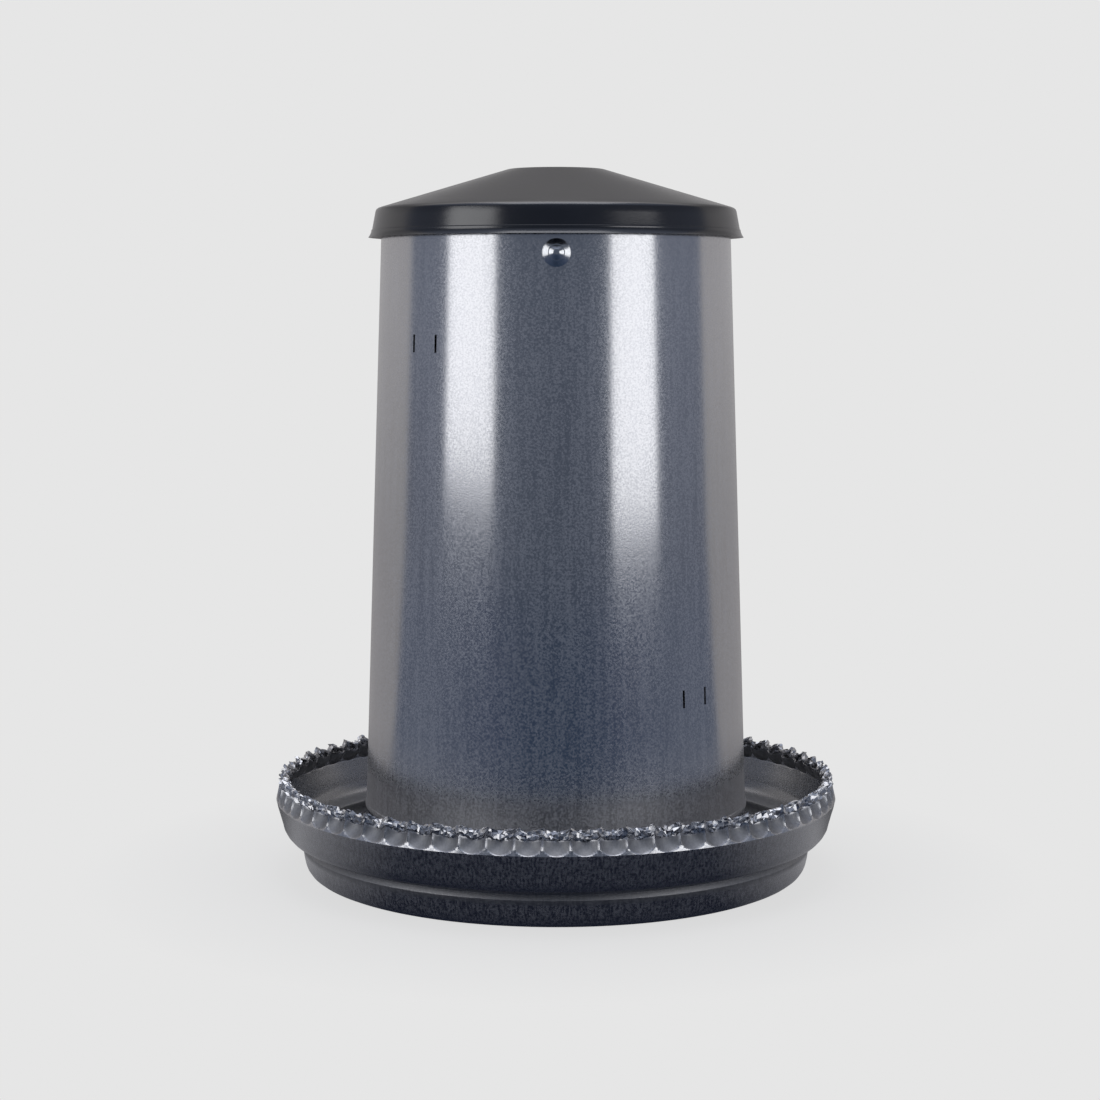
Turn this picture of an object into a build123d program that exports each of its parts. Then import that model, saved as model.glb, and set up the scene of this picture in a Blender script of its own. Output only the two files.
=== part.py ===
from build123d import *
import os
from math import atan2, cos, radians, sin, sqrt

# Driving dimensions, in millimetres. Z is up, the front of the feeder faces -Y,
# and the origin is the middle of the pan's underside.

# Feed pan: the bowl up to its neck, with a raised cone under the hopper
pan_sheet = 0.8
pan_floor_radius = 178.0
pan_corner_radius = 11.0
pan_wall_lean = 10.1
pan_ledge_radius = 191.0
pan_ledge_height = 21.2
pan_groove_radius = 188.9
pan_groove_height = 24.9
pan_bulge_radius = 204.9
pan_bulge_height = 37.0
pan_bulge_middle = (199.7, 29.3)
pan_neck_radius = 209.3
pan_neck_height = 53.0
pan_cone_radius = 104.0
pan_cone_top_radius = 26.0
pan_cone_rise = 14.0

# Crimped rim of the pan, flute by flute
flute_count = 68
flute_steps = 4
flute_angle = 360.0 / flute_count
flute_depth = 5.5
flute_round = 10.5
flute_rows = (0, 0.12, 0.36, 1)
rim_shoulder_radius = 210.0
rim_shoulder_height = 56.3
hem_foot_radius = 207.8
hem_foot_height = 68.4
hem_top_radius = 206.0
hem_top_height = 75.0
hem_fold = 1.2
hem_dip = 3.2

# Hopper tube
tube_sheet = 0.7
tube_bottom_radius = 142.8
tube_bottom_height = 49.0
tube_top_radius = 128.0
tube_bead_height = 4.0
tube_bead_proud = 0.8
tube_hem_height = 8.0
seam_width = 9.0
seam_proud = 1.4
seam_top_height = 487.0
seam_turn = -20.0

# Paired slits for the two cross bars, the lower pair a quarter turn from the upper
slit_width = 2.0
slit_height = 12.6
slit_spacing = 22.5
upper_bar_height = 396.0
upper_bar_turn = -45.0
lower_bar_height = 145.3
lower_bar_turn = 45.0
bar_sheet = 1.5
bar_depth = 12.0
bar_body_gap = 9.0
bar_tab_height = 4.0
bar_tab_gap = 0.3

# Centre rod, its nuts and washers
rod_diameter = 8.0
rod_hole_diameter = 8.6
nut_across_flats = 13.0
nut_corner_radius = 7.4
nut_chamfer = 0.8
nut_thickness = 6.5
washer_diameter = 18.0
washer_thickness = 1.6
rod_spare = 2.5

# Hanger strap across the top and its rivets
strap_width = 22.0
strap_sheet = 2.0
strap_height = 475.0
strap_leg_height = 447.0
strap_bend_radius = 5.0
rivet_height = 458.8
rivet_shank_radius = 2.4
rivet_head_radius = 5.3
rivet_head_knee_radius = 4.4
rivet_head_knee_rise = 1.1
rivet_head_flat_radius = 2.8
rivet_head_rise = 1.7
rivet_tail_radius = 3.9
rivet_tail_rise = 1.5
cup_radius = 9.9
cup_knee_radius = 8.6
cup_knee_rise = 1.4
cup_flat_radius = 6.0
cup_rise = 2.1
cup_sheet = 0.7

# Lid
lid_wall = 2.2
lid_crown_radius = 35.8
lid_crown_height = 522.0
lid_shoulder_radius = 132.4
lid_shoulder_height = 493.2
lid_shoulder_round = 3.0
lid_skirt_radius = 135.6
lid_skirt_height = 476.6
lid_lip_radius = 138.2
lid_lip_height = 472.0
lid_ring_radius = 126.0
lid_ring_wall = 2.0
lid_ring_foot_height = 482.0

# Worked out from the above
lid_lean = atan2(lid_crown_height - lid_shoulder_height, lid_shoulder_radius - lid_crown_radius)
lid_drop = lid_wall / cos(lid_lean)
lid_fall = (lid_crown_height - lid_shoulder_height) / (lid_shoulder_radius - lid_crown_radius)
tube_top_height = lid_shoulder_height + (lid_shoulder_radius - tube_top_radius) * lid_fall - lid_drop
tube_taper = (tube_bottom_radius - tube_top_radius) / (tube_top_height - tube_bottom_height)
bar_width = slit_spacing + bar_sheet


def spun(face):
    """Turn a face drawn as (radius, height) about the feeder's axis."""
    return revolve(Plane.XZ * face, Axis.Z)


def outline(*points):
    """Closed straight-sided face."""
    return make_face(Polyline(*points, close=True))


def upright(radius, bottom, top):
    """Round bar standing on the feeder's axis."""
    return Pos(0, 0, bottom) * Cylinder(radius, top - bottom, align=(Align.CENTER, Align.CENTER, Align.MIN))


# Feed pan


def pan_skin(inset):
    """Outline of the bowl from the rod hole out to the neck, moved in from the outer skin by inset."""
    middle = Line((rod_hole_diameter / 2, pan_cone_rise + inset), (pan_cone_top_radius, pan_cone_rise + inset))
    cone = Line(middle @ 1, (pan_cone_radius, inset))
    floor = Line(cone @ 1, (pan_floor_radius, inset))
    foot = JernArc(floor @ 1, (1, 0), pan_corner_radius - inset, 90 - pan_wall_lean)
    wall = Line(foot @ 1, (pan_ledge_radius - inset, pan_ledge_height))
    ledge = Line(wall @ 1, (pan_groove_radius - inset, pan_groove_height))
    across, up = pan_bulge_middle
    bulge = ThreePointArc(ledge @ 1, (across, up + inset), (pan_bulge_radius - inset, pan_bulge_height))
    neck = Line(bulge @ 1, (pan_neck_radius - inset, pan_neck_height))
    return [middle, cone, floor, foot, wall, ledge, bulge, neck]


def pan_bowl():
    """Pressed bowl: floor with a raised cone, stepped wall and bulge, up to the neck."""
    outer = pan_skin(0)
    inner = pan_skin(pan_sheet)
    ends = [Line(outer[0] @ 0, inner[0] @ 0), Line(outer[-1] @ 1, inner[-1] @ 1)]
    return spun(make_face([*outer, *inner, *ends]))


def rim_level(share):
    """Row of the fluted cone, where share runs from 0 at the shoulder to 1 at the foot of the hem."""
    radius = rim_shoulder_radius + (hem_foot_radius - rim_shoulder_radius) * share
    height = rim_shoulder_height + (hem_foot_height - rim_shoulder_height) * share
    depth = flute_depth * (1 - (1 - share) ** 3)
    return radius, height, depth, hem_dip * share**3


def crimp_levels():
    """Rows of the crimped sheet, up the outside, over the hem and down the inside.

    Each row is (radius before fluting, height, depth of the scoop, drop of its middle).
    """
    outside = [(pan_neck_radius, pan_neck_height, 0, 0)]
    outside += [rim_level(share) for share in flute_rows]
    hem = [
        (hem_foot_radius + hem_fold, hem_foot_height, flute_depth, hem_dip),
        (hem_top_radius, hem_top_height, flute_depth, hem_dip),
        (hem_top_radius - hem_fold - pan_sheet, hem_top_height, flute_depth, hem_dip),
    ]
    inside = [(radius - pan_sheet, height, depth, dip) for radius, height, depth, dip in reversed(outside)]
    return outside + hem + inside


def crimp_point(level, turn):
    """Point on a row, where turn runs from -1 to 1 between one ridge and the next."""
    radius, height, depth, dip = level
    angle = radians(turn * flute_angle / 2)
    along = rim_shoulder_radius * angle
    scoop_rise = flute_round - sqrt(flute_round**2 - along**2)
    reach = radius - max(0, depth - scoop_rise)
    return Vector(reach * sin(angle), -reach * cos(angle), height - dip * (1 - turn**2))


def crimp_edge(level, turn, next_turn):
    """Piece of a row: a true arc at the neck, where the rim meets the bowl, else straight."""
    ends = crimp_point(level, turn), crimp_point(level, next_turn)
    if level[1] == pan_neck_height:
        return Edge.make_three_point_arc(ends[0], crimp_point(level, (turn + next_turn) / 2), ends[1])
    return Edge.make_line(*ends)


def flute_faces():
    """Skin of one flute between its two ridges, closed round the sheet's section."""
    levels = crimp_levels()
    turns = [2 * step / flute_steps - 1 for step in range(flute_steps + 1)]
    faces = []
    for turn, next_turn in zip(turns, turns[1:]):
        for level, next_level in zip(levels, levels[1:] + levels[:1]):
            low = crimp_edge(level, turn, next_turn)
            high = crimp_edge(next_level, turn, next_turn)
            faces.append(Face.make_surface_from_curves(low, high))
    return faces


def crimped_rim():
    """The pan's fluted rim: one flute's skin repeated all the way round."""
    flute = flute_faces()
    around = [face.rotate(Axis.Z, step * flute_angle) for step in range(flute_count) for face in flute]
    return Solid(Shell(around))


def feed_pan():
    """The whole pan is one pressed and crimped sheet."""
    return pan_bowl() + crimped_rim()


# Hopper tube


def tube_radius(height):
    """Outer radius of the tapered tube at a height."""
    return tube_top_radius + tube_taper * (tube_top_height - height)


def tube_core(inset, bottom=tube_bottom_height, top=tube_top_height):
    """Everything inside the tube's tapered outer skin moved in by inset."""
    low, high = tube_radius(bottom) - inset, tube_radius(top) - inset
    return Pos(0, 0, bottom) * Cone(low, high, top - bottom, align=(Align.CENTER, Align.CENTER, Align.MIN))


def tube_wall():
    """Rolled sheet with an outward bead at the foot and an inward folded hem at the top."""
    bead_top = tube_bottom_height + tube_bead_height
    hem_foot = tube_top_height - tube_hem_height
    return spun(
        outline(
            (tube_bottom_radius + tube_bead_proud, tube_bottom_height),
            (tube_radius(bead_top) + tube_bead_proud, bead_top),
            (tube_radius(bead_top), bead_top),
            (tube_top_radius, tube_top_height),
            (tube_top_radius - 2 * tube_sheet, tube_top_height),
            (tube_radius(hem_foot) - 2 * tube_sheet, hem_foot),
            (tube_radius(hem_foot) - tube_sheet, hem_foot),
            (tube_bottom_radius - tube_sheet, tube_bottom_height),
        )
    )


def lock_seam():
    """Folded seam that joins the sheet's two edges, up the back of the tube beside the rivet."""
    bottom = tube_bottom_height + tube_bead_height
    band = tube_core(-seam_proud, bottom, seam_top_height) - tube_core(0)
    strip = Box(seam_width, tube_bottom_radius, 2 * seam_top_height)
    return band & Rot(0, 0, seam_turn) * Pos(0, tube_bottom_radius, 0) * strip


def slit_pair(height, turn):
    """Two narrow upright slits cut through both sides of the tube."""
    slit = Box(slit_width, 4 * tube_bottom_radius, slit_height)
    pair = Pos(-slit_spacing / 2, 0, 0) * slit + Pos(slit_spacing / 2, 0, 0) * slit
    return Rot(0, 0, turn) * Pos(0, 0, height) * pair


def rivet_place(side):
    """Place on the tube's skin at the rivet, square to the wall at the front (-1) or the back (1)."""
    origin = (0, side * tube_radius(rivet_height), rivet_height)
    return Plane(origin=origin, x_dir=(1, 0, 0), z_dir=(0, side, tube_taper))


def rivet_holes():
    """Bores for the front and the back rivet."""
    bore = Cylinder(rivet_shank_radius, 8 * strap_sheet)
    return rivet_place(-1) * bore + rivet_place(1) * bore


def hopper_tube():
    """Tapered galvanised tube with its seam, slits and rivet holes."""
    tube = tube_wall() + lock_seam()
    tube -= slit_pair(upper_bar_height, upper_bar_turn)
    tube -= slit_pair(lower_bar_height, lower_bar_turn)
    return tube - rivet_holes()


# Cross bars


def flange_pair(foot, tall):
    """Two upright strips, one in line with each slit of a pair."""
    strip = Pos(0, 0, foot + tall / 2) * Box(bar_sheet, 4 * tube_bottom_radius, tall)
    return Pos(-slit_spacing / 2, 0, 0) * strip + Pos(slit_spacing / 2, 0, 0) * strip


def cross_bar(height, turn):
    """Channel with its flanges down, whose end tabs stand on the lower edges of the tube's slits."""
    foot = height - slit_height / 2
    web = Pos(0, 0, foot + bar_depth - bar_sheet / 2) * Box(bar_width, 4 * tube_bottom_radius, bar_sheet)
    body = (Rot(0, 0, turn) * (web + flange_pair(foot, bar_depth))) & tube_core(bar_body_gap)
    tabs = (Rot(0, 0, turn) * flange_pair(foot, bar_tab_height)) & tube_core(bar_tab_gap)
    return body + tabs - upright(rod_hole_diameter / 2, foot, foot + bar_depth)


def bar_top(height):
    """Height of a cross bar's upper face."""
    return height - slit_height / 2 + bar_depth


# Centre rod


def centre_rod():
    """Rod that ties the pan to both cross bars."""
    bottom = pan_cone_rise - washer_thickness - nut_thickness - rod_spare
    return upright(rod_diameter / 2, bottom, bar_top(upper_bar_height) + nut_thickness + rod_spare)


def nut(bottom):
    """Hexagon nut on the rod."""
    prism = extrude(RegularPolygon(nut_across_flats / 2, 6, major_radius=False), nut_thickness)
    turned = upright(nut_corner_radius, 0, nut_thickness)
    turned = chamfer(turned.edges().filter_by(GeomType.CIRCLE), nut_chamfer)
    return Pos(0, 0, bottom) * (prism & turned) - upright(rod_diameter / 2, bottom, bottom + nut_thickness)


def washer(bottom):
    """Flat washer on the rod."""
    top = bottom + washer_thickness
    return upright(washer_diameter / 2, bottom, top) - upright(rod_hole_diameter / 2, bottom, top)


# Hanger strap and rivets


def hanger_strap():
    """Flat bar across the mouth of the tube, bent down inside the wall front and back."""
    inset = tube_sheet + strap_sheet / 2
    leg_foot = tube_radius(strap_leg_height) - inset
    leg_top = tube_radius(strap_height) - inset
    path = FilletPolyline(
        (-leg_foot, strap_leg_height),
        (-leg_top, strap_height),
        (leg_top, strap_height),
        (leg_foot, strap_leg_height),
        radius=strap_bend_radius,
    )
    section = make_face(offset(path, amount=strap_sheet / 2, side=Side.BOTH))
    bent = extrude(Plane.YZ * section, strap_width / 2, both=True)
    return (bent & tube_core(tube_sheet)) - rivet_holes()


def cup_washer(side):
    """Domed washer under a rivet head, hollow behind its flat top."""
    section = outline(
        (cup_radius, 0),
        (cup_knee_radius, cup_knee_rise),
        (cup_flat_radius, cup_rise),
        (rivet_shank_radius, cup_rise),
        (rivet_shank_radius, cup_rise - cup_sheet),
        (cup_flat_radius, cup_rise - cup_sheet),
        (cup_radius - 2 * cup_sheet, 0),
    )
    return rivet_place(side) * spun(section)


def rivet(side):
    """Rivet through cup washer, tube wall and strap, with its tail closed inside."""
    grip = tube_sheet + strap_sheet
    section = outline(
        (0, cup_rise + rivet_head_rise),
        (rivet_head_flat_radius, cup_rise + rivet_head_rise),
        (rivet_head_knee_radius, cup_rise + rivet_head_knee_rise),
        (rivet_head_radius, cup_rise),
        (rivet_shank_radius, cup_rise),
        (rivet_shank_radius, -grip),
        (rivet_tail_radius, -grip),
        (rivet_shank_radius, -grip - rivet_tail_rise),
        (0, -grip - rivet_tail_rise),
    )
    return rivet_place(side) * spun(section)


# Lid


def lid():
    """Moulded cover: shallow cone, skirt with a flared lip, and a ring that drops inside the tube."""
    top = lid_crown_height
    skin = outline(
        (0, top),
        (lid_crown_radius, top),
        (lid_shoulder_radius, lid_shoulder_height),
        (lid_skirt_radius, lid_skirt_height),
        (lid_lip_radius, lid_lip_height),
        (0, lid_lip_height),
    )
    shoulder = skin.vertices().sort_by_distance((lid_shoulder_radius, lid_shoulder_height))[0]
    skin = fillet(shoulder, lid_shoulder_round)
    hollow = outline(
        (0, top - lid_wall),
        (lid_crown_radius - lid_wall * (1 - cos(lid_lean)), top - lid_drop),
        (lid_shoulder_radius - lid_wall, lid_shoulder_height + lid_wall * lid_fall - lid_drop),
        (lid_skirt_radius - lid_wall, lid_skirt_height),
        (lid_lip_radius - lid_wall, lid_lip_height),
        (0, lid_lip_height),
    )
    ring_top = tube_top_height + 2 * lid_wall
    ring = outline(
        (lid_ring_radius, lid_ring_foot_height),
        (lid_ring_radius, ring_top - lid_wall),
        (lid_ring_radius - lid_ring_wall, ring_top),
        (lid_ring_radius - lid_ring_wall, lid_ring_foot_height),
    )
    return spun(skin - hollow + (ring & skin))


# Every piece of the feeder, by its node's name


def pieces():
    """Each separate piece in its place."""
    pan_top = pan_cone_rise + pan_sheet
    named = {
        "feed_pan": feed_pan(),
        "hopper_tube": hopper_tube(),
        "lid": lid(),
        "upper_cross_bar": cross_bar(upper_bar_height, upper_bar_turn),
        "lower_cross_bar": cross_bar(lower_bar_height, lower_bar_turn),
        "centre_rod": centre_rod(),
        "pan_washer_above": washer(pan_top),
        "pan_nut_above": nut(pan_top + washer_thickness),
        "pan_washer_below": washer(pan_cone_rise - washer_thickness),
        "pan_nut_below": nut(pan_cone_rise - washer_thickness - nut_thickness),
        "hanger_strap": hanger_strap(),
    }
    for name, height in (("upper_bar", upper_bar_height), ("lower_bar", lower_bar_height)):
        named[name + "_nut_above"] = nut(bar_top(height))
        named[name + "_nut_below"] = nut(bar_top(height) - bar_sheet - nut_thickness)
    for name, side in (("front", -1), ("back", 1)):
        named[name + "_rivet"] = rivet(side)
        named[name + "_cup_washer"] = cup_washer(side)
    return named


os.makedirs("parts", exist_ok=True)
for name, shape in pieces().items():
    export_step(shape, "parts/" + name + ".step")
    print(name, "solids", len(shape.solids()), "volume", round(shape.volume))
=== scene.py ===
import math

import bpy
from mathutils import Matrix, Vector


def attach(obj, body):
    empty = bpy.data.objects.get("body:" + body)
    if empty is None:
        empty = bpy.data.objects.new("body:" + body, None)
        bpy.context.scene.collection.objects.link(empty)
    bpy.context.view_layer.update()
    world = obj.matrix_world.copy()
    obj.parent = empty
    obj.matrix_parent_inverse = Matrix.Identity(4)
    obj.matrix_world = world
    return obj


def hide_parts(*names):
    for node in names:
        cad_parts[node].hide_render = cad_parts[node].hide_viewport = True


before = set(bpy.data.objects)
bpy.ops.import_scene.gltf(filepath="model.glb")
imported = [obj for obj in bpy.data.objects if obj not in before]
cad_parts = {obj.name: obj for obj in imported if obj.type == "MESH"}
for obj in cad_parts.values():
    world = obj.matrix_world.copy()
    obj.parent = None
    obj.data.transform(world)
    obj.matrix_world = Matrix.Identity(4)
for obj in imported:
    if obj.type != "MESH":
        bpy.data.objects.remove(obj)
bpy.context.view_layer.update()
print("frame loaded:", len(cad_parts), "nodes")

sewGap = 0.00001  # points nearer to each other than this become one, in metres


def clearSelection():
    if bpy.context.object and bpy.context.object.mode != "OBJECT":
        bpy.ops.object.mode_set(mode="OBJECT")
    bpy.ops.object.select_all(action="DESELECT")


def selectOnly(piece):
    clearSelection()
    piece.select_set(True)
    bpy.context.view_layer.objects.active = piece


def editWhole(piece):
    # edit mode, with the whole mesh selected
    selectOnly(piece)
    bpy.ops.object.mode_set(mode="EDIT")
    bpy.ops.mesh.select_all(action="SELECT")


def applyAll(piece):
    selectOnly(piece)
    for modifier in list(piece.modifiers):
        bpy.ops.object.modifier_apply(modifier=modifier.name)


def settle(piece):
    # place and turn go into the mesh, so the object sits at the origin
    selectOnly(piece)
    bpy.ops.object.transform_apply(location=True, rotation=True, scale=True)


def faceOutward(piece):
    editWhole(piece)
    bpy.ops.mesh.remove_doubles(threshold=sewGap)
    bpy.ops.mesh.normals_make_consistent(inside=False)
    bpy.ops.object.mode_set(mode="OBJECT")


def smooth(piece, degrees):
    selectOnly(piece)
    bpy.ops.object.shade_smooth_by_angle(angle=math.radians(degrees))


def drawProfile(name, points, turn=90.0):
    # a plane merged to one point and extruded from point to point, (radius, height) in millimetres,
    # in the upright half plane that lies turn degrees round from the front
    clearSelection()
    bpy.ops.mesh.primitive_plane_add(size=0.001)
    piece = bpy.context.object
    piece.name = name
    bpy.ops.object.mode_set(mode="EDIT")
    bpy.ops.mesh.select_mode(type="VERT")
    bpy.ops.mesh.select_all(action="SELECT")
    bpy.ops.mesh.merge(type="CENTER")
    spot = Vector((0, 0, 0))
    across = (math.sin(math.radians(turn)), -math.cos(math.radians(turn)))
    for index, (radius, height) in enumerate(points):
        step = Vector((radius / 1000 * across[0], radius / 1000 * across[1], height / 1000)) - spot
        if index == 0:
            bpy.ops.transform.translate(value=step)
        else:
            bpy.ops.mesh.extrude_vertices_move(TRANSFORM_OT_translate={"value": step})
        spot += step
    bpy.ops.object.mode_set(mode="OBJECT")
    return piece


def spinAll(piece, steps, degrees=360.0, copied=False):
    # swept round the feeder's axis, or, when copied, repeated round it
    editWhole(piece)
    angle = math.radians(degrees)
    bpy.ops.mesh.spin(steps=steps, dupli=copied, angle=angle, center=(0, 0, 0), axis=(0, 0, 1))
    bpy.ops.object.mode_set(mode="OBJECT")


def growWall(piece, wall, even=True):
    # the skin gets its sheet thickness on the inside
    thick = piece.modifiers.new("wall", "SOLIDIFY")
    thick.thickness = wall / 1000
    thick.offset = -1
    thick.use_even_offset = even
    applyAll(piece)


def finishPiece(piece, material, nodes, angle):
    settle(piece)
    smooth(piece, angle)
    piece.data.materials.clear()
    piece.data.materials.append(material)
    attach(piece, "root")
    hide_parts(*nodes)


def newMaterial(name):
    material = bpy.data.materials.new(name)
    material.use_nodes = True
    nodes = material.node_tree.nodes
    return material, nodes, material.node_tree.links, nodes["Principled BSDF"]


def colourRamp(nodes, stops):
    ramp = nodes.new("ShaderNodeValToRGB")
    ramp.color_ramp.elements[0].position = stops[0][0]
    ramp.color_ramp.elements[0].color = (*stops[0][1], 1)
    ramp.color_ramp.elements[1].position = stops[-1][0]
    ramp.color_ramp.elements[1].color = (*stops[-1][1], 1)
    for place, colour in stops[1:-1]:
        ramp.color_ramp.elements.new(place).color = (*colour, 1)
    return ramp


def spread(nodes, fromLow, fromHigh, toLow, toHigh):
    node = nodes.new("ShaderNodeMapRange")
    node.inputs["From Min"].default_value = fromLow
    node.inputs["From Max"].default_value = fromHigh
    node.inputs["To Min"].default_value = toLow
    node.inputs["To Max"].default_value = toHigh
    return node


def noise(nodes, scale, detail=2.0, roughness=0.5):
    node = nodes.new("ShaderNodeTexNoise")
    node.inputs["Scale"].default_value = scale
    node.inputs["Detail"].default_value = detail
    node.inputs["Roughness"].default_value = roughness
    return node


def reckon(nodes, operation):
    node = nodes.new("ShaderNodeMath")
    node.operation = operation
    return node


def reckonVector(nodes, operation):
    node = nodes.new("ShaderNodeVectorMath")
    node.operation = operation
    return node


def addBump(nodes, links, shader, height, strength, distance):
    bump = nodes.new("ShaderNodeBump")
    bump.inputs["Strength"].default_value = strength
    bump.inputs["Distance"].default_value = distance
    links.new(height, bump.inputs["Height"])
    links.new(bump.outputs["Normal"], shader.inputs["Normal"])


def scaled(colour, shade):
    return [shade * part for part in colour]


galvanised = {
    "bright": (0.60, 0.60, 0.615),
    "dull": (0.70, 0.70, 0.72),  # oxide specks, paler but less of a mirror
    "dullMetal": 0.74,
    "tintFrom": 0.43,  # pattern level that is all bright
    "tintTo": 0.57,  # and the one that is all dull
    "grain": 700.0,  # speckle, about a millimetre and a half across
    "grainDetail": 2.0,
    "grainBroken": 0.6,
    "streakDetail": 3.0,
    "streakRise": 0.03,  # below 1 draws the streaks out, up the sheet
    "roughFrom": 0.38,
    "roughTo": 0.62,
    "roughLow": 0.13,
    "roughHigh": 0.20,
    "inwardFrom": -0.12,  # how squarely a face looks outward, times its metres from the axis
    "inwardTo": -0.02,
    "insidePaintedShade": 0.30,  # how much darker the faces are that look inward, painted shade
    "pressedRough": 0.36,  # more roughness where the press has drawn the sheet
    "bump": 0.02,
    "bumpHeight": 0.001,
}


def paintedInwardShade(nodes, links, place):
    # painted shade: 1 on faces that look outward or up, less on those that look at the feeder's axis, such
    # as the pan's inner wall
    surface = nodes.new("ShaderNodeNewGeometry")
    outward = reckonVector(nodes, "MULTIPLY")
    outward.inputs[1].default_value = (1, 1, 0)
    facing = reckonVector(nodes, "DOT_PRODUCT")
    darkest = 1.0 - galvanised["insidePaintedShade"]
    shade = spread(nodes, galvanised["inwardFrom"], galvanised["inwardTo"], darkest, 1.0)
    links.new(place, outward.inputs[0])
    links.new(outward.outputs["Vector"], facing.inputs[0])
    links.new(surface.outputs["Normal"], facing.inputs[1])
    links.new(facing.outputs["Value"], shade.inputs["Value"])
    return shade.outputs["Result"]


def galvanisedSheet(name, roughShift=0.0, shade=1.0, streaked=0.25, streakSize=260.0, pressedPaintedShade=0.0):
    material, nodes, links, shader = newMaterial(name)
    place = nodes.new("ShaderNodeTexCoord").outputs["Object"]
    grain = noise(nodes, galvanised["grain"], galvanised["grainDetail"], galvanised["grainBroken"])
    stretch = nodes.new("ShaderNodeMapping")
    stretch.inputs["Scale"].default_value = (1.0, 1.0, galvanised["streakRise"])
    streak = noise(nodes, streakSize, galvanised["streakDetail"])
    links.new(place, grain.inputs["Vector"])
    links.new(place, stretch.inputs["Vector"])
    links.new(stretch.outputs["Vector"], streak.inputs["Vector"])
    pattern = nodes.new("ShaderNodeMix")  # speckle and streak together
    pattern.data_type = "FLOAT"
    pattern.inputs["Factor"].default_value = streaked
    links.new(grain.outputs["Fac"], pattern.inputs["A"])
    links.new(streak.outputs["Fac"], pattern.inputs["B"])
    bright, dull = scaled(galvanised["bright"], shade), scaled(galvanised["dull"], shade)
    tint = colourRamp(nodes, [(galvanised["tintFrom"], bright), (galvanised["tintTo"], dull)])
    metal = spread(nodes, galvanised["tintFrom"], galvanised["tintTo"], 1.0, galvanised["dullMetal"])
    links.new(pattern.outputs["Result"], tint.inputs["Fac"])
    links.new(pattern.outputs["Result"], metal.inputs["Value"])
    links.new(metal.outputs["Result"], shader.inputs["Metallic"])
    # drawn and rubbed places, written on the mesh of the pan and the tube, are rougher, and on the pan also
    # darker with painted shade, most in the flutes' hollows and the groove
    pressed = nodes.new("ShaderNodeAttribute")
    pressed.attribute_name = "pressed"
    darker = spread(nodes, 0.0, 1.0, 1.0, 1.0 - pressedPaintedShade)
    both = reckon(nodes, "MULTIPLY")
    shaded = reckonVector(nodes, "SCALE")
    links.new(pressed.outputs["Fac"], darker.inputs["Value"])
    links.new(darker.outputs["Result"], both.inputs[0])
    links.new(paintedInwardShade(nodes, links, place), both.inputs[1])
    links.new(tint.outputs["Color"], shaded.inputs["Vector"])
    links.new(both.outputs["Value"], shaded.inputs["Scale"])
    links.new(shaded.outputs["Vector"], shader.inputs["Base Color"])
    low, high = galvanised["roughLow"] + roughShift, galvanised["roughHigh"] + roughShift
    rough = spread(nodes, galvanised["roughFrom"], galvanised["roughTo"], low, high)
    rougher = reckon(nodes, "MULTIPLY_ADD")
    rougher.inputs[1].default_value = galvanised["pressedRough"]
    links.new(grain.outputs["Fac"], rough.inputs["Value"])
    links.new(pressed.outputs["Fac"], rougher.inputs[0])
    links.new(rough.outputs["Result"], rougher.inputs[2])
    links.new(rougher.outputs["Value"], shader.inputs["Roughness"])
    addBump(nodes, links, shader, grain.outputs["Fac"], galvanised["bump"], galvanised["bumpHeight"])
    return material


def varyFinish(nodes, links, shader, pattern, finish, dark, light, roughLow, roughHigh):
    # a pattern that runs the colour from dark to light and the roughness from low to high
    ramp = colourRamp(nodes, [(finish["tintFrom"], dark), (finish["tintTo"], light)])
    rough = spread(nodes, finish["roughFrom"], finish["roughTo"], roughLow, roughHigh)
    links.new(pattern, ramp.inputs["Fac"])
    links.new(pattern, rough.inputs["Value"])
    links.new(ramp.outputs["Color"], shader.inputs["Base Color"])
    links.new(rough.outputs["Result"], shader.inputs["Roughness"])


blackPlastic = {
    "dark": (0.001, 0.002, 0.006),
    "light": (0.003, 0.004, 0.010),
    "tintFrom": 0.3,
    "tintTo": 0.7,
    "cloud": 35.0,  # slow change of the gloss across the lid
    "cloudDetail": 4.0,
    "grain": 1800.0,  # texture of the mould, half a millimetre across
    "roughFrom": 0.3,
    "roughTo": 0.7,
    "roughLow": 0.16,
    "roughHigh": 0.21,
    "bump": 0.06,
    "bumpHeight": 0.0005,
    "ior": 1.62,
    "specular": 1.0,
}


def mouldedPlastic(name):
    material, nodes, links, shader = newMaterial(name)
    place = nodes.new("ShaderNodeTexCoord").outputs["Object"]
    cloud = noise(nodes, blackPlastic["cloud"], blackPlastic["cloudDetail"])
    grain = noise(nodes, blackPlastic["grain"])
    links.new(place, cloud.inputs["Vector"])
    links.new(place, grain.inputs["Vector"])
    dark, light = blackPlastic["dark"], blackPlastic["light"]
    low, high = blackPlastic["roughLow"], blackPlastic["roughHigh"]
    varyFinish(nodes, links, shader, cloud.outputs["Fac"], blackPlastic, dark, light, low, high)
    addBump(nodes, links, shader, grain.outputs["Fac"], blackPlastic["bump"], blackPlastic["bumpHeight"])
    shader.inputs["IOR"].default_value = blackPlastic["ior"]
    shader.inputs["Specular IOR Level"].default_value = blackPlastic["specular"]
    return material


plated = {
    "grain": 700.0,
    "grainDetail": 3.0,
    "tintFrom": 0.35,
    "tintTo": 0.65,
    "roughFrom": 0.3,
    "roughTo": 0.7,
    "roughSpan": 0.04,  # to either side of the finish's own roughness
    "bump": 0.05,
    "bumpHeight": 0.0005,
}


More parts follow.
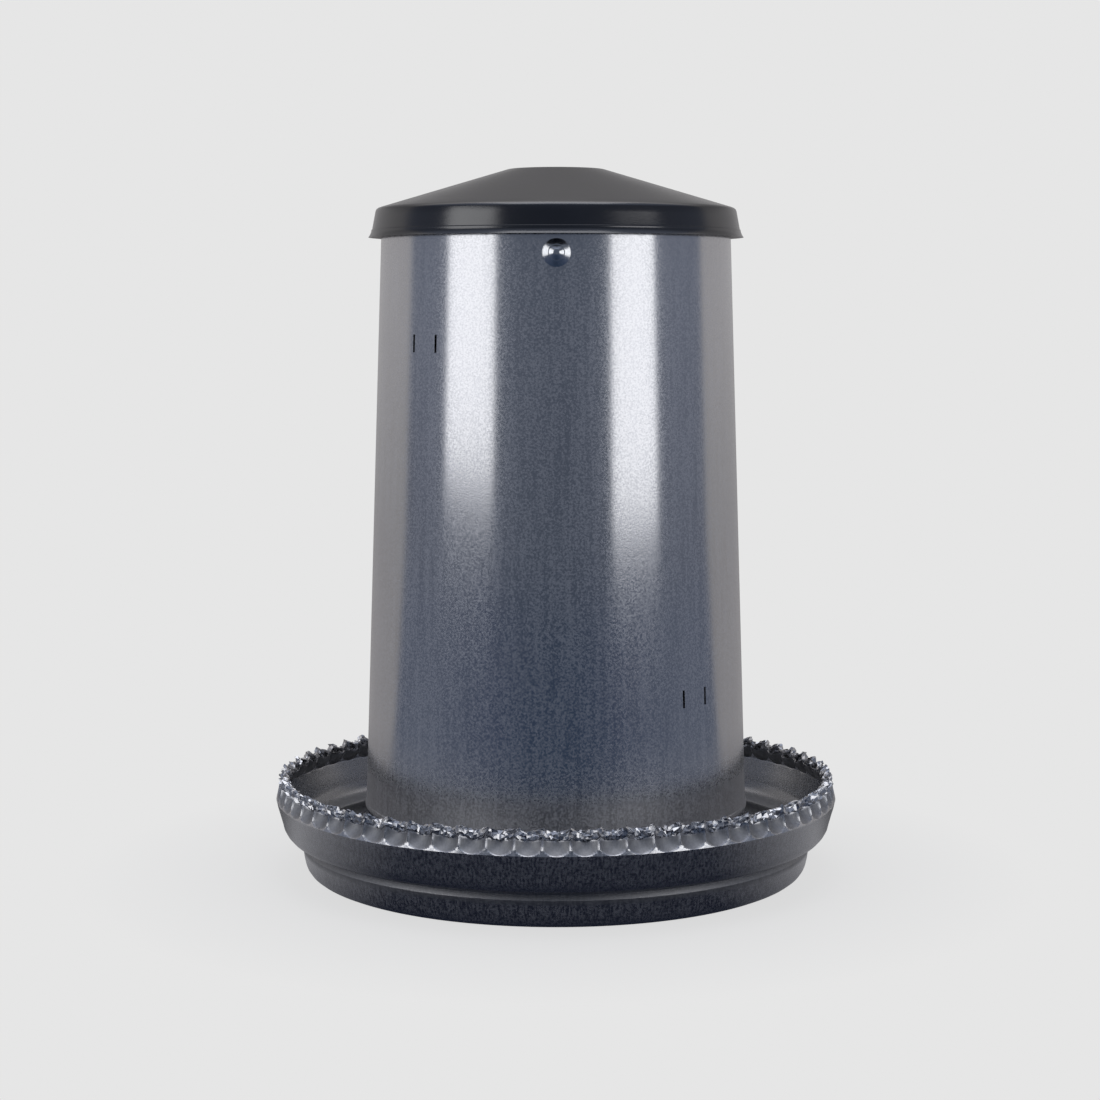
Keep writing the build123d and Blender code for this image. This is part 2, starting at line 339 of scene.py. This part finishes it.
def platedSteel(name, dark, light, roughness):
    material, nodes, links, shader = newMaterial(name)
    place = nodes.new("ShaderNodeTexCoord").outputs["Object"]
    grain = noise(nodes, plated["grain"], plated["grainDetail"])
    links.new(place, grain.inputs["Vector"])
    low, high = roughness - plated["roughSpan"], roughness + plated["roughSpan"]
    varyFinish(nodes, links, shader, grain.outputs["Fac"], plated, dark, light, low, high)
    addBump(nodes, links, shader, grain.outputs["Fac"], plated["bump"], plated["bumpHeight"])
    shader.inputs["Metallic"].default_value = 1.0
    return material


tubeZinc = galvanisedSheet("tubeZinc")
# the pan's pressed places get painted shade as well as roughness
panZinc = galvanisedSheet("panZinc", roughShift=0.03, streaked=0.5, streakSize=800.0, pressedPaintedShade=0.45)
strapZinc = galvanisedSheet("strapZinc", roughShift=0.08, shade=0.9)
# the cross bars are coloured near black as painted shade, so their tabs in the tube's slits show dark
barSteelInPaintedShade = platedSteel("barSteelInPaintedShade", dark=(0.010, 0.010, 0.012), light=(0.020, 0.020, 0.023), roughness=0.55)
lidPlastic = mouldedPlastic("lidPlastic")
rivetPlate = platedSteel("rivetPlate", dark=(0.60, 0.61, 0.63), light=(0.70, 0.71, 0.73), roughness=0.2)
boltPlate = platedSteel("boltPlate", dark=(0.5, 0.5, 0.5), light=(0.68, 0.67, 0.64), roughness=0.32)
print("materials ready")


# lengths of every piece are in millimetres, angles in degrees, and a profile is a list of (radius, height)
pan = {
    "flutes": 68,
    "columns": 12,  # faces across one flute
    "sheet": 0.8,
    "smoothAngle": 17,  # low, so that the ridges and the crushed facets stay sharp
    "centre": [(4.4, 14.0), (26.0, 14.0), (46.0, 10.4), (75.0, 5.2), (104.0, 0.0)],
    "floor": [(128.0, 0.0), (154.0, 0.0), (178.0, 0.0)],
    "corner": [(181.0, 0.4), (183.7, 1.6), (186.0, 3.4), (187.7, 5.9), (188.6, 8.3)],
    "wall": [(189.4, 12.0), (190.2, 17.0), (190.8, 20.2), (190.95, 21.2), (190.6, 22.2)],
    "groove": [(189.3, 24.2), (189.0, 24.9), (189.1, 25.5), (189.8, 25.9)],
    "bulge": [(193.6, 26.6), (197.2, 28.0), (200.4, 30.0), (202.9, 32.8), (204.6, 36.0), (205.3, 39.0)],
    "neck": [(206.4, 43.0), (207.8, 48.0), (209.0, 52.0), (209.6, 54.8)],
    "shoulder": (209.95, 56.2),
    "hemFoot": (207.3, 68.4),
    "rows": (0.03, 0.08, 0.14, 0.22, 0.32, 0.45, 0.62, 0.8, 1.0),  # share of the way from shoulder to hem
    "hem": [
        (207.8, 68.5), (208.3, 69.4), (208.2, 70.6), (207.9, 71.8), (207.4, 73.0), (206.8, 74.1),
        (206.0, 74.6), (205.1, 74.3), (204.5, 73.4), (204.5, 72.2), (205.0, 71.0),
    ],
    "hemOuter": 8,  # points of the hem that show from outside
    "scoop": 4.8,  # depth of a flute at the foot of the hem
    "scoopRound": 12.2,  # radius of the flute's hollow
    "scoopSteep": 3.5,  # how soon the flute is deep
    "scoopEdge": 0.5,  # depth at which the sheet counts as fully pressed, roughest and, on the pan, darkest with painted shade in the hollow
    "dip": 3.2,  # drop of the hem between two ridges
    "dipSteep": 3,
    "crumple": 2.3,  # how far the crushed hem is pushed about
    "crumpleSize": 1.4,
    "crumpleDepth": 1,
    "crumpleContrast": 2.0,
    "footCrushed": 0.35,  # crushing of the rows under and inside the hem, whose outside has 1
    "innerCrushed": 0.3,
    "wallPressedAndShaded": 0.2,  # how drawn the sheet counts as, in the wall and between the groove's heights, which on the pan also sets its painted shade
    "groovePressedAndShaded": 0.9,
    "grooveFrom": 20.0,
    "grooveTo": 28.5,
}


def rimRows():
    # radius and height before fluting, depth of the scoop, drop of its middle, and how crushed the row is
    (lowRadius, lowHeight), (highRadius, highHeight) = pan["shoulder"], pan["hemFoot"]
    rows = [(*pan["shoulder"], 0, 0, 0)]
    for share in pan["rows"]:
        radius = lowRadius + (highRadius - lowRadius) * share
        height = lowHeight + (highHeight - lowHeight) * share
        depth = pan["scoop"] * (1 - (1 - share) ** pan["scoopSteep"])
        crushed = pan["footCrushed"] if share == 1 else 0
        rows.append((radius, height, depth, pan["dip"] * share ** pan["dipSteep"], crushed))
    for index, (radius, height) in enumerate(pan["hem"]):
        crushed = 1 if index < pan["hemOuter"] else pan["innerCrushed"]
        rows.append((radius, height, pan["scoop"], pan["dip"], crushed))
    return rows


def fluteTurn(x, y):
    # from -1 to 1 between one ridge and the next
    return (math.atan2(x, -y) / (math.pi / pan["flutes"]) + 1) % 2 - 1


def shapeFlute(piece):
    # a round scoop that is soon deep, so its foot is an arc and the shoulder stays between two arcs
    rows = {(round(row[0], 2), round(row[1], 2)): row[2:] for row in rimRows()}
    hem = piece.vertex_groups.new(name="hem")
    pressAndShadeLevels = []
    for vertex in piece.data.vertices:
        x, y, z = vertex.co
        reach = math.hypot(x, y)
        row = rows.get((round(reach * 1000, 2), round(z * 1000, 2)))
        if row is None:
            # the groove gets strong painted shade and roughness, the rest of the wall a little
            inGroove = pan["grooveFrom"] / 1000 < z < pan["grooveTo"] / 1000
            pressAndShadeLevels.append(pan["groovePressedAndShaded"] if inGroove else pan["wallPressedAndShaded"])
            continue
        depth, drop, crushed = row
        turn = fluteTurn(x, y)
        along = turn * math.pi / pan["flutes"] * pan["shoulder"][0]
        hollow = pan["scoopRound"] - math.sqrt(pan["scoopRound"] ** 2 - along**2)
        sunk = max(0, depth - hollow)
        inward = 1 - sunk / 1000 / reach
        vertex.co = (x * inward, y * inward, z - drop * (1 - turn**2) / 1000)
        # the level makes the zinc rougher and, on the pan, darker with painted shade in the flute's hollow
        pressAndShadeLevels.append(0 if crushed else min(1, sunk / pan["scoopEdge"]))
        if crushed:
            hem.add([vertex.index], crushed, "REPLACE")
    pressed = piece.data.attributes.new("pressed", "FLOAT", "POINT")  # read by the zinc
    pressed.data.foreach_set("value", pressAndShadeLevels)


def crumpleHem(piece):
    # the folded edge is crushed between the crimping rolls
    clouds = bpy.data.textures.new("crumple", "CLOUDS")
    clouds.cloud_type = "COLOR"
    clouds.noise_scale = pan["crumpleSize"] / 1000
    clouds.noise_depth = pan["crumpleDepth"]
    clouds.contrast = pan["crumpleContrast"]
    push = piece.modifiers.new("crumple", "DISPLACE")
    push.texture = clouds
    push.texture_coords = "LOCAL"
    push.direction = "RGB_TO_XYZ"
    push.mid_level = 0.5
    push.strength = pan["crumple"] / 1000
    push.vertex_group = "hem"
    applyAll(piece)
    piece.vertex_groups.clear()


def makePan():
    points = []
    for stretch in ("centre", "floor", "corner", "wall", "groove", "bulge", "neck"):
        points += pan[stretch]
    points += [row[:2] for row in rimRows()]
    wedge = 360.0 / pan["flutes"]
    others = pan["flutes"] - 1
    piece = drawProfile("feedPan", points, -wedge / 2)
    spinAll(piece, pan["columns"], wedge)
    shapeFlute(piece)
    spinAll(piece, others, wedge * others, copied=True)
    faceOutward(piece)
    crumpleHem(piece)
    growWall(piece, pan["sheet"], even=False)  # an even offset would spike at the ridges
    finishPiece(piece, panZinc, ["feed_pan"], pan["smoothAngle"])
    return piece


panPiece = makePan()
print("feed pan:", len(panPiece.data.polygons), "faces")


tube = {
    "sheet": 0.7,
    "around": 256,
    "smoothAngle": 40,
    "footRadius": 142.8,
    "footHeight": 49.0,
    "topRadius": 128.0,
    "topHeight": 492.1,
    "bead": [
        (142.2, 49.05), (142.9, 49.1), (143.4, 49.6), (143.55, 50.6), (143.5, 51.8), (143.1, 52.6),
        (142.75, 53.1),
    ],
    "footRows": (53.6, 65.0, 76.0),  # heights of the first rows above the bead
    "rowsFrom": 88.0,
    "rows": 12,
    "topGap": 0.1,  # the last row stops this far short of the top
    "dull": 0.55,
    "dullHeight": 110.0,  # above this the zinc is not dulled
    "dullFade": 45.0,  # and this far below it, fully
    "seamTurn": 160.0,  # round from the front
    "seamProud": 1.3,
    "seamReach": 1.6,  # columns to either side of its middle
    "seamFrom": 53.5,
    "seamTo": 487.2,
    "slitWidth": 2.0,
    "slitHeight": 12.6,
    "slitSpacing": 22.5,
    "slitReach": 400.0,  # the cutter goes through both walls
    "bars": [(-45.0, 396.0), (45.0, 145.3)],  # turn from the front, height
}


def tubeRadius(height):
    share = (tube["topHeight"] - height) / (tube["topHeight"] - tube["footHeight"])
    return tube["topRadius"] + (tube["footRadius"] - tube["topRadius"]) * share


def cutSlits(piece):
    # a pair of slits at each end of a cross bar, for its tabs
    cutters = []
    for turn, height in tube["bars"]:
        for side in (-0.5, 0.5):
            clearSelection()
            bpy.ops.mesh.primitive_cube_add(size=1)
            cutter = bpy.context.object
            cutter.scale = [tube[size] / 1000 for size in ("slitWidth", "slitReach", "slitHeight")]
            angle = math.radians(turn)
            along = side * tube["slitSpacing"] / 1000
            cutter.location = (along * math.cos(angle), along * math.sin(angle), height / 1000)
            cutter.rotation_euler = (0, 0, angle)
            cutters.append(cutter)
    for cutter in cutters:
        cutter.select_set(True)
    bpy.context.view_layer.objects.active = cutters[0]
    bpy.ops.object.join()
    cut = piece.modifiers.new("slits", "BOOLEAN")
    cut.operation = "DIFFERENCE"
    cut.solver = "EXACT"
    cut.object = cutters[0]
    applyAll(piece)
    bpy.data.objects.remove(cutters[0])


def dullFoot(piece):
    # the zinc is duller near the foot, where feed and birds rub it
    pressed = piece.data.attributes.new("pressed", "FLOAT", "POINT")
    for vertex in piece.data.vertices:
        share = (tube["dullHeight"] / 1000 - vertex.co.z) / (tube["dullFade"] / 1000)
        pressed.data[vertex.index].value = tube["dull"] * max(0, min(1, share))


def raiseSeam(piece):
    # the folded lock seam stands proud of the sheet, up the back
    middle = math.radians(tube["seamTurn"])
    halfWidth = tube["seamReach"] * (2 * math.pi / tube["around"])
    editWhole(piece)
    bpy.ops.mesh.select_all(action="DESELECT")
    bpy.ops.object.mode_set(mode="OBJECT")
    for face in piece.data.polygons:
        x, y, z = face.center
        away = abs(math.atan2(x, -y) - middle)
        face.select = away < halfWidth and tube["seamFrom"] / 1000 < z < tube["seamTo"] / 1000
    bpy.ops.object.mode_set(mode="EDIT")
    bpy.ops.mesh.select_mode(type="FACE")
    proud = {"value": -tube["seamProud"] / 1000}
    bpy.ops.mesh.extrude_region_shrink_fatten(TRANSFORM_OT_shrink_fatten=proud)
    bpy.ops.object.mode_set(mode="OBJECT")


def makeTube():
    last = tube["topHeight"] - tube["topGap"]
    heights = list(tube["footRows"])
    for row in range(tube["rows"] + 1):
        heights.append(tube["rowsFrom"] + (last - tube["rowsFrom"]) * row / tube["rows"])
    points = tube["bead"] + [(tubeRadius(height), height) for height in heights]
    piece = drawProfile("hopperTube", points)
    spinAll(piece, tube["around"])
    faceOutward(piece)
    raiseSeam(piece)
    dullFoot(piece)
    growWall(piece, tube["sheet"])
    cutSlits(piece)
    finishPiece(piece, tubeZinc, ["hopper_tube"], tube["smoothAngle"])
    return piece


tubePiece = makeTube()
print("hopper tube:", len(tubePiece.data.polygons), "faces")


lid = {
    "around": 256,
    "smoothAngle": 30,
    "outer": [  # down from the middle of the top, over the slope and the skirt, to the lip
        (0.0, 522.0), (12.0, 522.0), (24.0, 522.0), (34.6, 521.95), (35.8, 521.75), (37.0, 521.4),
        (60.0, 514.55), (90.0, 505.6), (120.0, 496.65), (129.0, 493.95), (131.0, 493.2), (132.2, 492.2),
        (132.75, 490.9), (133.6, 486.4), (135.1, 478.6), (135.3, 477.7), (135.7, 477.5), (135.9, 477.1),
        (135.95, 476.6), (135.95, 476.0), (136.9, 473.8), (137.8, 472.4), (138.1, 472.05),
    ],
    "inner": [  # and back up inside the skirt, round the locating ring, to the middle
        (136.9, 472.1), (136.0, 472.6), (134.2, 475.6), (133.3, 477.0), (131.6, 485.4), (130.7, 490.0),
        (129.8, 491.2), (126.2, 492.35), (126.0, 491.6), (126.0, 482.3), (125.7, 482.0), (124.3, 482.0),
        (124.0, 482.3), (124.0, 492.4), (123.4, 493.3), (90.0, 503.3), (60.0, 512.25), (37.0, 519.1),
        (35.2, 519.7), (20.0, 519.8), (0.0, 519.8),
    ],
}


def makeLid():
    piece = drawProfile("feederLid", lid["outer"] + lid["inner"])
    spinAll(piece, lid["around"])
    faceOutward(piece)
    finishPiece(piece, lidPlastic, ["lid"], lid["smoothAngle"])
    return piece


lidPiece = makeLid()
print("lid:", len(lidPiece.data.polygons), "faces")


rivet = {
    "height": 458.8,
    "around": 64,
    "smoothAngle": 40,
    "head": [  # heights from the tube's wall, outward
        (0.0, 3.75), (1.2, 3.75), (1.9, 3.72), (2.2, 3.62), (2.5, 3.48), (4.6, 2.42), (4.95, 2.25),
        (5.2, 2.12), (5.3, 2.05), (5.25, 1.95), (2.4, 1.9), (2.4, -2.7), (3.9, -2.75), (3.7, -3.4),
        (3.1, -3.9), (2.2, -4.15), (0.0, -4.2),
    ],
    "cup": [
        (2.5, 2.05), (5.4, 2.08), (5.7, 2.04), (6.0, 1.92), (9.2, 0.28), (9.5, 0.16), (9.8, 0.1),
        (9.85, 0.05), (9.8, 0.02), (9.2, 0.02), (8.9, 0.05), (6.0, 1.2), (5.6, 1.36), (5.2, 1.38),
        (2.5, 1.38), (2.5, 2.05),
    ],
    "parts": [  # profile, end of the piece's name, end of the node's name
        ("head", "Rivet", "_rivet"),
        ("cup", "CupWasher", "_cup_washer"),
    ],
}


def placeRivet(piece, side):
    # square to the tapered wall, at the front (-1) or the back (1)
    lean = math.atan((tube["footRadius"] - tube["topRadius"]) / (tube["topHeight"] - tube["footHeight"]))
    piece.location = (0, side * tubeRadius(rivet["height"]) / 1000, rivet["height"] / 1000)
    piece.rotation_euler = (-side * (math.pi / 2 - lean), 0, 0)


def makeRivets():
    for side, place in ((-1, "front"), (1, "back")):
        for part, nameEnd, nodeEnd in rivet["parts"]:
            piece = drawProfile(place + nameEnd, rivet[part])
            spinAll(piece, rivet["around"])
            faceOutward(piece)
            placeRivet(piece, side)
            finishPiece(piece, rivetPlate, [place + nodeEnd], rivet["smoothAngle"])


makeRivets()
print("rivets placed")


finishes = {
    "upper_cross_bar": barSteelInPaintedShade,
    "lower_cross_bar": barSteelInPaintedShade,
    "hanger_strap": strapZinc,
    "centre_rod": boltPlate,
    "pan_washer_above": boltPlate,
    "pan_nut_above": boltPlate,
    "pan_washer_below": boltPlate,
    "pan_nut_below": boltPlate,
    "upper_bar_nut_above": boltPlate,
    "upper_bar_nut_below": boltPlate,
    "lower_bar_nut_above": boltPlate,
    "lower_bar_nut_below": boltPlate,
    "feed_pan": panZinc,
    "hopper_tube": tubeZinc,
    "lid": lidPlastic,
    "front_rivet": rivetPlate,
    "back_rivet": rivetPlate,
    "front_cup_washer": rivetPlate,
    "back_cup_washer": rivetPlate,
}
for name, material in finishes.items():
    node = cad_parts[name]
    node.data.materials.clear()
    node.data.materials.append(material)
print("frame nodes finished")


# lengths of the studio and the camera are in metres
studio = {
    "page": 0.791,  # pale grey of floor and background
    "paper": 0.8,  # what carries the feeder's shadow
    "room": [  # tones round the room, from 0 in front to 1 behind
        (0.0, (0.10, 0.118, 0.158)),
        (0.10, (0.14, 0.16, 0.205)),
        (0.40, (0.18, 0.20, 0.255)),
        (0.635, (0.18, 0.20, 0.255)),
        (0.665, (0.44, 0.43, 0.435)),
        (1.0, (0.44, 0.43, 0.435)),
    ],
    "roomHeight": [  # share of the tone, from 0 straight down to 1 straight up
        (0.0, 0.62),
        (0.44, 0.62),
        (0.515, 1.0),
        (0.60, 1.0),
        (0.68, 0.68),
        (0.78, 0.68),
        (0.90, 1.9),
        (1.0, 2.4),
    ],
    "farFloor": [  # the floor further out, as the metal mirrors it
        (0.0, (0.036, 0.056, 0.098)),
        (0.10, (0.060, 0.078, 0.128)),
        (0.40, (0.12, 0.14, 0.19)),
        (0.635, (0.12, 0.14, 0.19)),
        (0.665, (0.32, 0.31, 0.315)),
        (1.0, (0.32, 0.31, 0.315)),
    ],
    "nearFloor": [  # and the floor close to the feeder
        (0.0, (0.013, 0.016, 0.028)),
        (0.12, (0.013, 0.016, 0.028)),
        (0.5, (0.32, 0.32, 0.335)),
        (0.68, (0.10, 0.10, 0.105)),
        (1.0, (0.10, 0.10, 0.105)),
    ],
    "nearReach": 0.3,
    "farReach": 0.7,
    "softLeft": {"turn": -54.2, "away": 1.7, "width": 1.0, "low": 0.27, "high": 1.4, "radiance": 1.32},
    "softRight": {"turn": 48.6, "away": 1.7, "width": 0.9, "low": 0.21, "high": 1.06, "radiance": 1.32},
    "top": {"size": 1.4, "back": -0.15, "height": 2.1, "radiance": 1.3},
    "floorSize": 6.0,
    "shadowFrom": 0.2,
    "shadowTo": 0.36,
    "shadowShare": 0.15,
}


def grey(level):
    return (level, level, level, 1)


def toneAlong(nodes, links, direction, axis, stops):
    # tone by how far a direction points along one axis, from 0 against it to 1 along it
    split = nodes.new("ShaderNodeSeparateXYZ")
    span = spread(nodes, -1.0, 1.0, 0.0, 1.0)
    ramp = colourRamp(nodes, stops)
    links.new(direction, split.inputs["Vector"])
    links.new(split.outputs[axis], span.inputs["Value"])
    links.new(span.outputs["Result"], ramp.inputs["Fac"])
    return ramp.outputs["Color"]


def roomTone(nodes, links, direction, stops):
    # from the front of the room to its back
    level = reckonVector(nodes, "NORMALIZE")
    links.new(direction, level.inputs[0])
    return toneAlong(nodes, links, level.outputs["Vector"], "Y", stops)


def showCamera(nodes, links, mirrored, seen, out):
    # the metal mirrors one shader and the camera sees the other
    path = nodes.new("ShaderNodeLightPath")
    choose = nodes.new("ShaderNodeMixShader")
    links.new(path.outputs["Is Camera Ray"], choose.inputs["Fac"])
    links.new(mirrored, choose.inputs[1])
    links.new(seen, choose.inputs[2])
    links.new(choose.outputs["Shader"], out.inputs["Surface"])


def buildWorld():
    world = bpy.data.worlds.new("studio")
    bpy.context.scene.world = world
    world.use_nodes = True
    nodes, links = world.node_tree.nodes, world.node_tree.links
    nodes.clear()
    out = nodes.new("ShaderNodeOutputWorld")
    direction = nodes.new("ShaderNodeTexCoord").outputs["Generated"]
    tone = roomTone(nodes, links, direction, studio["room"])
    shares = [(at, grey(level)[:3]) for at, level in studio["roomHeight"]]
    share = toneAlong(nodes, links, direction, "Z", shares)
    shaded = reckonVector(nodes, "MULTIPLY")
    room = nodes.new("ShaderNodeBackground")
    links.new(tone, shaded.inputs[0])
    links.new(share, shaded.inputs[1])
    links.new(shaded.outputs["Vector"], room.inputs["Color"])
    page = nodes.new("ShaderNodeBackground")
    page.inputs["Color"].default_value = grey(studio["page"])
    showCamera(nodes, links, room.outputs["Background"], page.outputs["Background"], out)


def buildFloor():
    clearSelection()
    bpy.ops.mesh.primitive_plane_add(size=studio["floorSize"])
    floor = bpy.context.object
    floor.name = "studioFloor"
    material = bpy.data.materials.new("studioPaper")
    material.use_nodes = True
    nodes, links = material.node_tree.nodes, material.node_tree.links
    nodes.clear()
    out = nodes.new("ShaderNodeOutputMaterial")
    place = nodes.new("ShaderNodeTexCoord").outputs["Object"]
    reach = reckonVector(nodes, "LENGTH")
    links.new(place, reach.inputs[0])
    # what the metal mirrors: dark close to the feeder, the room's own tones further out
    near = roomTone(nodes, links, place, studio["nearFloor"])
    far = roomTone(nodes, links, place, studio["farFloor"])
    outward = spread(nodes, studio["nearReach"], studio["farReach"], 0.0, 1.0)
    tone = nodes.new("ShaderNodeMix")
    tone.data_type = "RGBA"
    mirrored = nodes.new("ShaderNodeEmission")
    links.new(reach.outputs["Value"], outward.inputs["Value"])
    links.new(outward.outputs["Result"], tone.inputs["Factor"])
    links.new(near, tone.inputs["A"])
    links.new(far, tone.inputs["B"])
    links.new(tone.outputs["Result"], mirrored.inputs["Color"])
    # what the camera sees: the page, with the feeder's shadow showing near it
    paper = nodes.new("ShaderNodeBsdfDiffuse")
    paper.inputs["Color"].default_value = grey(studio["paper"])
    page = nodes.new("ShaderNodeEmission")
    page.inputs["Color"].default_value = grey(studio["page"])
    fade = spread(nodes, studio["shadowFrom"], studio["shadowTo"], 1.0 - studio["shadowShare"], 1.0)
    seen = nodes.new("ShaderNodeMixShader")
    links.new(reach.outputs["Value"], fade.inputs["Value"])
    links.new(fade.outputs["Result"], seen.inputs["Fac"])
    links.new(paper.outputs["BSDF"], seen.inputs[1])
    links.new(page.outputs["Emission"], seen.inputs[2])
    showCamera(nodes, links, mirrored.outputs["Emission"], seen.outputs["Shader"], out)
    floor.data.materials.append(material)


def putUp(name, data, place, turn):
    # a lamp or the camera on its own holder
    holder = bpy.data.objects.new(name, data)
    bpy.context.scene.collection.objects.link(holder)
    holder.location = place
    holder.rotation_euler = turn
    return holder


def softBox(name, box):
    angle = math.radians(box["turn"])
    middle = (box["low"] + box["high"]) / 2
    lamp = bpy.data.lights.new(name, "AREA")
    lamp.shape = "RECTANGLE"
    lamp.size = box["width"]
    lamp.size_y = box["high"] - box["low"]
    lamp.energy = box["radiance"] * math.pi * lamp.size * lamp.size_y
    place = (box["away"] * math.sin(angle), -box["away"] * math.cos(angle), middle)
    putUp(name, lamp, place, (math.pi / 2, 0, angle))


def topLight():
    top = studio["top"]
    lamp = bpy.data.lights.new("topLight", "AREA")
    lamp.size = top["size"]
    lamp.energy = top["radiance"] * math.pi * top["size"] ** 2
    lean = -math.atan2(top["back"], top["height"])
    putUp("topLight", lamp, (0, top["back"], top["height"]), (lean, 0, 0))


camera = {"place": (-0.0044, -1.764, 0.428), "down": 0.106, "lens": 77.58, "sensor": 36.0}  # down in radians


def placeCamera():
    lens = bpy.data.cameras.new("camera")
    lens.lens = camera["lens"]
    lens.sensor_width = camera["sensor"]
    lens.sensor_fit = "AUTO"
    turn = (math.pi / 2 - camera["down"], 0, 0)
    bpy.context.scene.camera = putUp("camera", lens, camera["place"], turn)


buildWorld()
buildFloor()
softBox("softLeft", studio["softLeft"])
softBox("softRight", studio["softRight"])
topLight()
placeCamera()
bpy.context.scene.view_settings.view_transform = "Standard"
print("studio ready")

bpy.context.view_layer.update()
